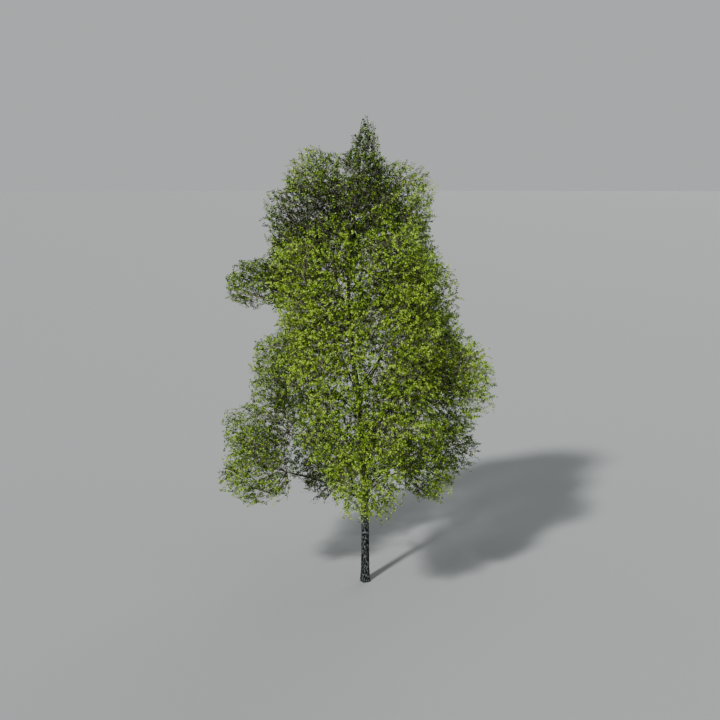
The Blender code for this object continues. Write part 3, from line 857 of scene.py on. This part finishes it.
# %% Where the shoots stand
SHOOTS_PER_CLUMP = 37.0
FEWEST_FOR_SHOOTS = 6     # every mass has shoots for so many clumps
SHOOT_TRIALS = 30000
SHOOT_REACH = 1.4         # tried this far out, in half sizes of the space
COVER_SHARES = 6          # places along a blade to measure from
CLUMP_ROOM = 0.50         # shoots stand this near a blade
ROOM_SCATTER = (0.6, 1.2)  # times a share between these
STRAY = 0.50              # share of the others kept too
SEAM_OVERLAP = 0.20       # shoots mingle by this much where masses meet
START_DEPTH = 0.38        # shoots start this deep in the crown
RAGGED = 0.85             # and its edge comes and goes by about this much
LUMP = 0.95               # over this many metres
FINE_LUMPS = 2.7          # the second noise is this much finer
FINE_LUMP_SHARE = 0.6     # and this strong beside the first
# Shaded masses are thinner and some round the upper trunk fuller: their shares of shoots.
FULLNESS = {"low_back_right": 0.5, "left_shoulder": 0.78, "back_left_shoulder": 0.8,
            "top_left_inner": 1.15, "low_back": 0.7, "low_left": 0.88, "right_back": 0.8,
            "left_arm": 1.3, "upper_left_front": 1.15, "upper_right_front": 1.1,
            "upper_back_left": 1.25, "upper_back_right": 1.2}


def ragged(points):
    """How far the crown's edge draws in at each point: a coarse and a fine noise."""
    coarse = [noise.noise(Vector(point) / LUMP) for point in points]
    fine = [noise.noise(Vector(point) * FINE_LUMPS / LUMP) for point in points]
    return RAGGED * (np.array(coarse) + FINE_LUMP_SHARE * np.array(fine))


def shoot_places(mass, rng):
    """Where the shoots of a mass stand."""
    shares = np.linspace(0.04, 0.96, COVER_SHARES)
    blades = np.concatenate([clump_cover(*clump, shares) for clump in mass["clumps"]])
    reach = SHOOT_REACH * mass["half"]
    trials = mass["middle"] + reach * rng.uniform(-1, 1, (SHOOT_TRIALS, 3))
    trials = trials[in_cell(mass, trials, -SEAM_OVERLAP / 2)]
    trials = trials[crown_depth(trials) > 0]
    depth = mass["leaf_size"] * (START_DEPTH + ragged(trials))
    trials = trials[crown_depth(trials) > depth]
    away = np.min([np.linalg.norm(trials - point, axis=1) for point in blades], axis=0)
    near = away < CLUMP_ROOM * rng.uniform(*ROOM_SCATTER, len(trials))
    trials = trials[near | (rng.random(len(trials)) < STRAY)]
    trials = trials[distance_to_limbs(trials) > LIMB_MARGIN]
    count = round(SHOOTS_PER_CLUMP * max(len(mass["clumps"]), FEWEST_FOR_SHOOTS)
                  * FULLNESS.get(mass["name"], 1.0))
    return farthest_first(trials, mass["points"][1], count)


for seed, mass in enumerate(masses):
    mass["places"] = shoot_places(mass, np.random.default_rng(100 + seed))
print("places for shoots:", total("places"))

# %% [markdown]
# ## Carried on to finer twigs
# Each shoot needs a twig to stand on.  The rule that joined the clumps goes on from the
# same twig points, a little looser, since so fine a twig may start anywhere.

# %% Carried on to finer twigs
FINE_WAY_SHARE = 0.45


def finer_twigs(mass, places):
    """Join each place, nearest first, to the twig point that keeps its way short."""
    points, parents = list(mass["points"]), list(mass["parents"])
    way = [0.0] * len(points)
    for index in range(1, len(points)):
        step = np.linalg.norm(points[index] - points[parents[index]])
        way[index] = way[parents[index]] + step
    known = np.array(points)
    nearest = [np.linalg.norm(known - place, axis=1).min() for place in places]
    for order in np.argsort(nearest):
        place = places[order]
        gaps = np.linalg.norm(np.array(points[1:]) - place, axis=1)
        choice = int(np.argmin(gaps + FINE_WAY_SHARE * np.array(way[1:]))) + 1
        points.append(place)
        parents.append(choice)
        way.append(way[choice] + gaps[choice - 1])
    return np.array(points), np.array([0] + [int(parent) for parent in parents[1:]])


for mass in masses:
    mass["fine"], mass["bearer"] = finer_twigs(mass, mass["places"])
print("twig points:", total("fine"))

# %% [markdown]
# ## Twigs as joined three-sided tubes
# Twigs could be bevelled curves, but one a few millimetres thick needs no round section.
# All of a mass's twigs are swept at once, as arrays: a ring of three points at each knot,
# and two triangles for each side between.

# %% Twigs as joined three-sided tubes
FINE_RADIUS = 0.0042      # of a shoot where it starts
FINE_GROWTH = 0.40        # carrying n shoots, a twig is n ** this as thick
TWIG_SIDES = 3
TWIG_TAPER = 1.25         # at most this much thicker where it starts


def square_to(along):
    """Two directions square to each of many others."""
    steep = np.abs(along[..., 2:]) > 0.9
    first = unit(np.cross(along, np.where(steep, (1.0, 0.0, 0.0), (0.0, 0.0, 1.0))))
    return first, np.cross(along, first)


def sweep(knots, radii):
    """Three-sided tubes along many lines at once: lines x knots x 3, lines x knots."""
    first, second = square_to(unit(np.gradient(knots, axis=1)))
    corners = []
    for angle in np.arange(TWIG_SIDES) * 2 * math.pi / TWIG_SIDES:
        outward = math.cos(angle) * first + math.sin(angle) * second
        corners.append(knots + outward * radii[..., None])
    lines, count = knots.shape[:2]
    index = np.arange(lines * count * TWIG_SIDES).reshape(lines, count, TWIG_SIDES)
    return np.stack(corners, 2).reshape(-1, 3), walls(index[:, :-1], index[:, 1:])


def twig_tubes(mass):
    """All of a mass's twigs, each as thick as what it carries asks."""
    points, bearer = mass["fine"], mass["bearer"]
    load = np.ones(len(points))
    for index in range(len(points) - 1, 0, -1):
        load[bearer[index]] += load[index]
    thickest = mass["support"][1][-1]
    radius = np.minimum(FINE_RADIUS * load ** FINE_GROWTH, thickest)
    ends, starts = points[1:], points[bearer[1:]]
    from_radius = np.minimum(radius[bearer[1:]], TWIG_TAPER * radius[1:])
    return sweep(np.stack((starts, ends), 1), np.stack((from_radius, radius[1:]), 1))


print("a shoot is", round(2000 * FINE_RADIUS, 1), "mm thick where it starts")

# %% [markdown]
# ## Shoots
# A shoot is a season's growth, about half a metre long.  Shoots could all point outward,
# but a tree's low ones hang and its top ones rise, so each is lifted or let down by its
# height.  One that would leave the crown or touch a limb is tried again.

# %% Shoots
SHOOT_LENGTH = 0.54
LENGTH_SCATTER = (0.75, 1.2)
SHOOT_KNOTS = 3
SHOOT_TRIES = 6
KEEP_HEADING = 0.55       # a shoot's way: its twig's heading,
LEAN_OUT = 0.55           # outward from the trunk,
LEAN_SCATTER = 0.45       # its own scatter,
LEAN_FROM = 1.5           # from here out, shoots lean fully outward
LIFT = (-0.15, 0.70)      # and up, for the lowest and the highest shoots
SAG = (0.34, 0.02)        # their bend down, as shares of their length
LOWEST, HIGHEST = 3.5, 19.5  # where those start
ROOM = 0.20               # tips may stand this far outside the solids' box
TIP_DEPTHS = (-0.16, 0.28)  # least depth of a tip, drawn for each


def grow_shoots(mass, rng):
    """The middle lines of a mass's shoots."""
    first = len(mass["points"])
    starts, bearer = mass["fine"][first:], mass["bearer"][first:]
    heading = unit(starts - mass["fine"][bearer] + 1e-6)
    axis = np.array([trunk_point(start[2]) for start in starts])
    away = (starts - axis) * (1, 1, 0)
    outward = away / np.maximum(np.linalg.norm(away, axis=1, keepdims=True), LEAN_FROM)
    high = np.clip((starts[:, 2] - LOWEST) / (HIGHEST - LOWEST), 0, 1)[:, None]
    lift = np.array((0, 0, 1)) * (LIFT[0] + (LIFT[1] - LIFT[0]) * high)
    lines = np.zeros((len(starts), SHOOT_KNOTS, 3))
    kept = np.zeros(len(starts), bool)
    for _ in range(SHOOT_TRIES):
        scatter = rng.normal(size=starts.shape)
        onward = unit(KEEP_HEADING * heading + LEAN_OUT * outward + lift
                      + LEAN_SCATTER * scatter)
        length = SHOOT_LENGTH * rng.uniform(*LENGTH_SCATTER, (len(starts), 1))
        sag = np.array((0, 0, -1)) * (SAG[0] + (SAG[1] - SAG[0]) * high) * length
        share = np.linspace(0, 1, SHOOT_KNOTS)[None, :, None]
        trial = (starts[:, None] + onward[:, None] * length[:, None] * share
                 + sag[:, None] * share ** 2)
        tip = trial[:, -1]
        least = mass["leaf_size"] * rng.uniform(*TIP_DEPTHS, len(starts))
        fits = crown_depth(tip) > least
        fits &= distance_to_limbs(tip) > LIMB_MARGIN
        fits &= (tip > np.array(packed_box[0]) - ROOM).all(axis=1)
        fits &= (tip < np.array(packed_box[1]) + ROOM).all(axis=1)
        lines = np.where((fits & ~kept)[:, None, None], trial, lines)
        kept |= fits
    return lines[kept]


for seed, mass in enumerate(masses):
    mass["rng"] = np.random.default_rng(200 + seed)
    mass["shoots"] = grow_shoots(mass, mass["rng"])
print("shoots:", total("shoots"))

# %% [markdown]
# ## Leaves
# A poplar's leaf is a broad blade with a drawn-out tip, 60 to 100 mm long, that flutters
# on its stalk.  A picture on a card would be flat and needs an image.  Each leaf here is a
# kite of two faces, folded along its midrib so that its halves take the light
# differently.  Leaves stand round their shoot by the golden angle, lean out and hang.

# %% Leaves
SHOOT_LEAVES = 20
LEAF_LENGTH = 0.078
LEAF_BREADTH = 0.061
LEAF_SIZES = (0.72, 1.18)  # scatter of the size
TIP_SMALLER = 0.30        # loss of size along a shoot, from 1.08
LEAF_FOLD = 0.30          # rise of the edges, as a share of their distance
LEAF_CURL = 0.10          # bend of its tip, as a share of its length
STALK = 0.012
BARE_FOOT = 0.06          # share of a shoot below its first leaf
SPACING = (0.2, 0.8)      # place in its own stretch of the shoot
GOLDEN = math.radians(137.5)
TURN_SCATTER = 0.4
# How a leaf points: outward, along its shoot, down, and at random.
OUT, ON, HANG, ASTRAY = 0.85, 0.45, 0.30, 0.35
# And how its face looks: up, outward, and at random.
FACE_UP, FACE_OUT, FACE_ASTRAY = 0.7, 0.35, 1.0
# The outline: across as a share of the breadth, along as a share of the length.
OUTLINE = ((0, 0), (-0.50, 0.36), (0, 1), (0.50, 0.36))
LEAF_FACES = np.array(((0, 2, 1), (0, 3, 2)))


def hang_leaves(lines, rng):
    """The corners of each leaf of each shoot: shoots x leaves x corners x 3."""
    count = len(lines)
    share = (np.arange(SHOOT_LEAVES) + rng.uniform(*SPACING, (count, SHOOT_LEAVES)))
    share = BARE_FOOT + (1 - BARE_FOOT) * share / SHOOT_LEAVES
    span = share * (SHOOT_KNOTS - 1)
    knot = np.minimum(span.astype(int), SHOOT_KNOTS - 2)
    row = np.arange(count)[:, None]
    step = lines[row, knot + 1] - lines[row, knot]
    root = lines[row, knot] + step * (span - knot)[..., None]
    along = unit(step)
    first, second = square_to(along)
    turn = (np.arange(SHOOT_LEAVES) * GOLDEN)[None] + rng.uniform(0, 2 * math.pi, (count, 1))
    turn = turn[..., None] + TURN_SCATTER * rng.normal(size=(count, SHOOT_LEAVES, 1))
    outward = np.cos(turn) * first + np.sin(turn) * second
    scatter = rng.normal(size=outward.shape)
    midrib = unit(OUT * outward + ON * along + (0, 0, -HANG) + ASTRAY * scatter)
    facing = (0, 0, FACE_UP) + FACE_OUT * outward
    facing = facing + FACE_ASTRAY * rng.normal(size=outward.shape)
    facing = unit(facing - midrib * (facing * midrib).sum(-1, keepdims=True))
    across = np.cross(facing, midrib)
    size = rng.uniform(*LEAF_SIZES, (count, SHOOT_LEAVES, 1))
    size = size * (1.08 - TIP_SMALLER * share[..., None])
    root = root + STALK * outward
    corners = []
    for aside, up in OUTLINE:
        corner = (across * aside * LEAF_BREADTH + midrib * up * LEAF_LENGTH
                  + facing * abs(aside) * LEAF_FOLD * LEAF_BREADTH
                  - facing * up ** 2 * LEAF_CURL * LEAF_LENGTH)
        corners.append(root + corner * size)
    return np.stack(corners, 2)


print("leaves:", SHOOT_LEAVES * total("shoots"))

# %% [markdown]
# ## What a poplar leaf looks like
# The leaf has a waxy skin: a soft sheen on clear yellow-green where it grew in the sun,
# and a deeper, duller green in shade.  The tints are also lit and shaded copies of one
# leaf: the lighter ones partly painted light, the deeper ones partly painted shade.  Veins
# would be lost at a distance where one leaf is one colour to the eye.  So the tints are
# plain, and are dealt out by the spray.

# %% What a poplar leaf looks like
# Waxed leaf, from the sunniest to the deepest shade, partly real sun and shade leaves and
# partly painted light and painted shade: the eye sees soft sparks of sheen on the bright
# ones and a quiet dark between them.
TINTS = (("poplar_leaf_sunlit", "#9fb84f"), ("poplar_leaf_bright", "#84a03b"),
         ("poplar_leaf_full", "#647f2b"), ("poplar_leaf_olive", "#455e1e"),
         ("poplar_leaf_shade", "#283b10"), ("poplar_leaf_deep", "#121d06"))
# Painted light and shade by mass: masses that others shade are some tints deeper, and
# sunlit ones lighter.
PAINTED_LIGHT_AND_SHADE = {"spire": -0.3, "top_left_inner": 2.0, "low_back_right": 1.2, "low_back": 0.6,
          "low_back_left": 1.2, "left_arm": 1.3, "back_left_shoulder": 0.6,
          "top_back": 0.8, "upper_back_left": 0.8, "left_shoulder": 0.8, "low_left": 0.7,
          "middle_left": -1.1, "upper_left_front": -0.8, "upper_right_front": -0.5,
          "middle_right": -0.4, "top_front": 0.4, "top_right": -0.3}
leaf_materials = [surface(name, colour, Roughness=0.48, IOR=1.42, Specular_IOR_Level=0.4)
                  for name, colour in TINTS]
# First-year bark, still smooth: the eye sees a dull straw brown between the leaves.
twig_bark = surface("young_twig_bark", "#6f6a58", Roughness=0.75)
print("leaf tints:", len(leaf_materials))

# %% [markdown]
# ## Dealing out the tints
# Leaves are light outside the crown, and deep inside it and in masses that others shade:
# partly real sun and shade leaves, partly painted light and painted shade.  Tints dealt
# at random would look like confetti.  So how far out a shoot stands, at its height, says
# how sunny its leaves are, and the tints deepen towards the heart as painted shade.

# %% Dealing out the tints
SPRAY_LEAVES = 2          # leaves next to each other that share a tint
CROWN_TOP = 20.0
TIP_HALF_WIDTH = 0.6      # the crown's half width at its very top
WIDENS_BY = 5.6           # and what it gains below
TOP_ROUNDING = 1.04
SKIRT_SHARE = 0.3         # the crown draws in below this share of the height
OUTER_TINT = 1.3          # mean tint outside, counted from the sunlit one
# Painted shade: the crown's heart is dealt tints this many deeper.
DEEPER_BY = 3.4           # how many tints deeper its heart is
SHOOT_VARIES = 0.7        # scatter from shoot to shoot, in tints
SPRAY_VARIES = 1.5        # and from spray to spray


def deal_tints(mass, lines, rng):
    """A tint for each spray, from its shoot's depth in the crown as painted shade, with some
    scatter.
    """
    middle = lines[:, 1]
    axis = np.array([trunk_point(min(point[2], TRUNK_TOP)) for point in middle])
    out = np.linalg.norm((middle - axis)[:, :2], axis=1)
    share = np.clip(middle[:, 2] / CROWN_TOP, 0, 1)
    crown = WIDENS_BY * np.sqrt(np.clip(TOP_ROUNDING - share, 0.02, 1))
    crown = TIP_HALF_WIDTH + crown * np.minimum(1, share / SKIRT_SHARE)
    depth = 1 - np.clip(out / crown, 0, 1)
    level = OUTER_TINT + DEEPER_BY * depth + SHOOT_VARIES * rng.normal(size=len(lines))
    # Each mass's painted shade: deeper where others shade it, lighter where it is sunlit.
    level += PAINTED_LIGHT_AND_SHADE.get(mass["name"], 0.0)
    sprays = (len(lines), SHOOT_LEAVES // SPRAY_LEAVES)
    level = level[:, None] + SPRAY_VARIES * rng.normal(size=sprays)
    return np.clip(np.round(level), 0, len(TINTS) - 1).astype(int).reshape(-1)


# %% [markdown]
# ## Dress every mass
# Leaves could be instances of one leaf, but many programs drop instances.  So each mass
# becomes two plain meshes that stand for its solid: its twigs, and its leaves, whose faces
# carry their tint.

# %% Dress every mass
TIP_TAPER = 0.25          # a shoot's tip radius over its first


def wood_of(mass):
    """Points and triangles of a mass's twigs and shoots."""
    lines = mass["shoots"]
    taper = np.linspace(1, TIP_TAPER, SHOOT_KNOTS)[None] * FINE_RADIUS
    return joined([twig_tubes(mass), sweep(lines, np.repeat(taper, len(lines), 0))])


def green_of(mass):
    """Points and triangles of a mass's leaves, and the tint of each triangle."""
    points = hang_leaves(mass["shoots"], mass["rng"]).reshape(-1, 3)
    first_corner = np.arange(0, len(points), len(OUTLINE))[:, None, None]
    faces = (LEAF_FACES + first_corner).reshape(-1, 3)
    tints = deal_tints(mass, mass["shoots"], mass["rng"])
    return points, faces, np.repeat(tints, SPRAY_LEAVES * len(LEAF_FACES))


triangles = 0
for mass in masses:
    points, faces, tints = green_of(mass)
    wood = piece("twigs_" + mass["name"], *wood_of(mass), [twig_bark])
    green = piece("foliage_" + mass["name"], points, faces, leaf_materials, tints)
    for item, slot in ((wood, "bark"), (green, "foliage")):
        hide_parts("leaves_" + mass["name"])
        triangles += len(item.data.polygons)
print("triangles of twigs and leaves:", triangles)
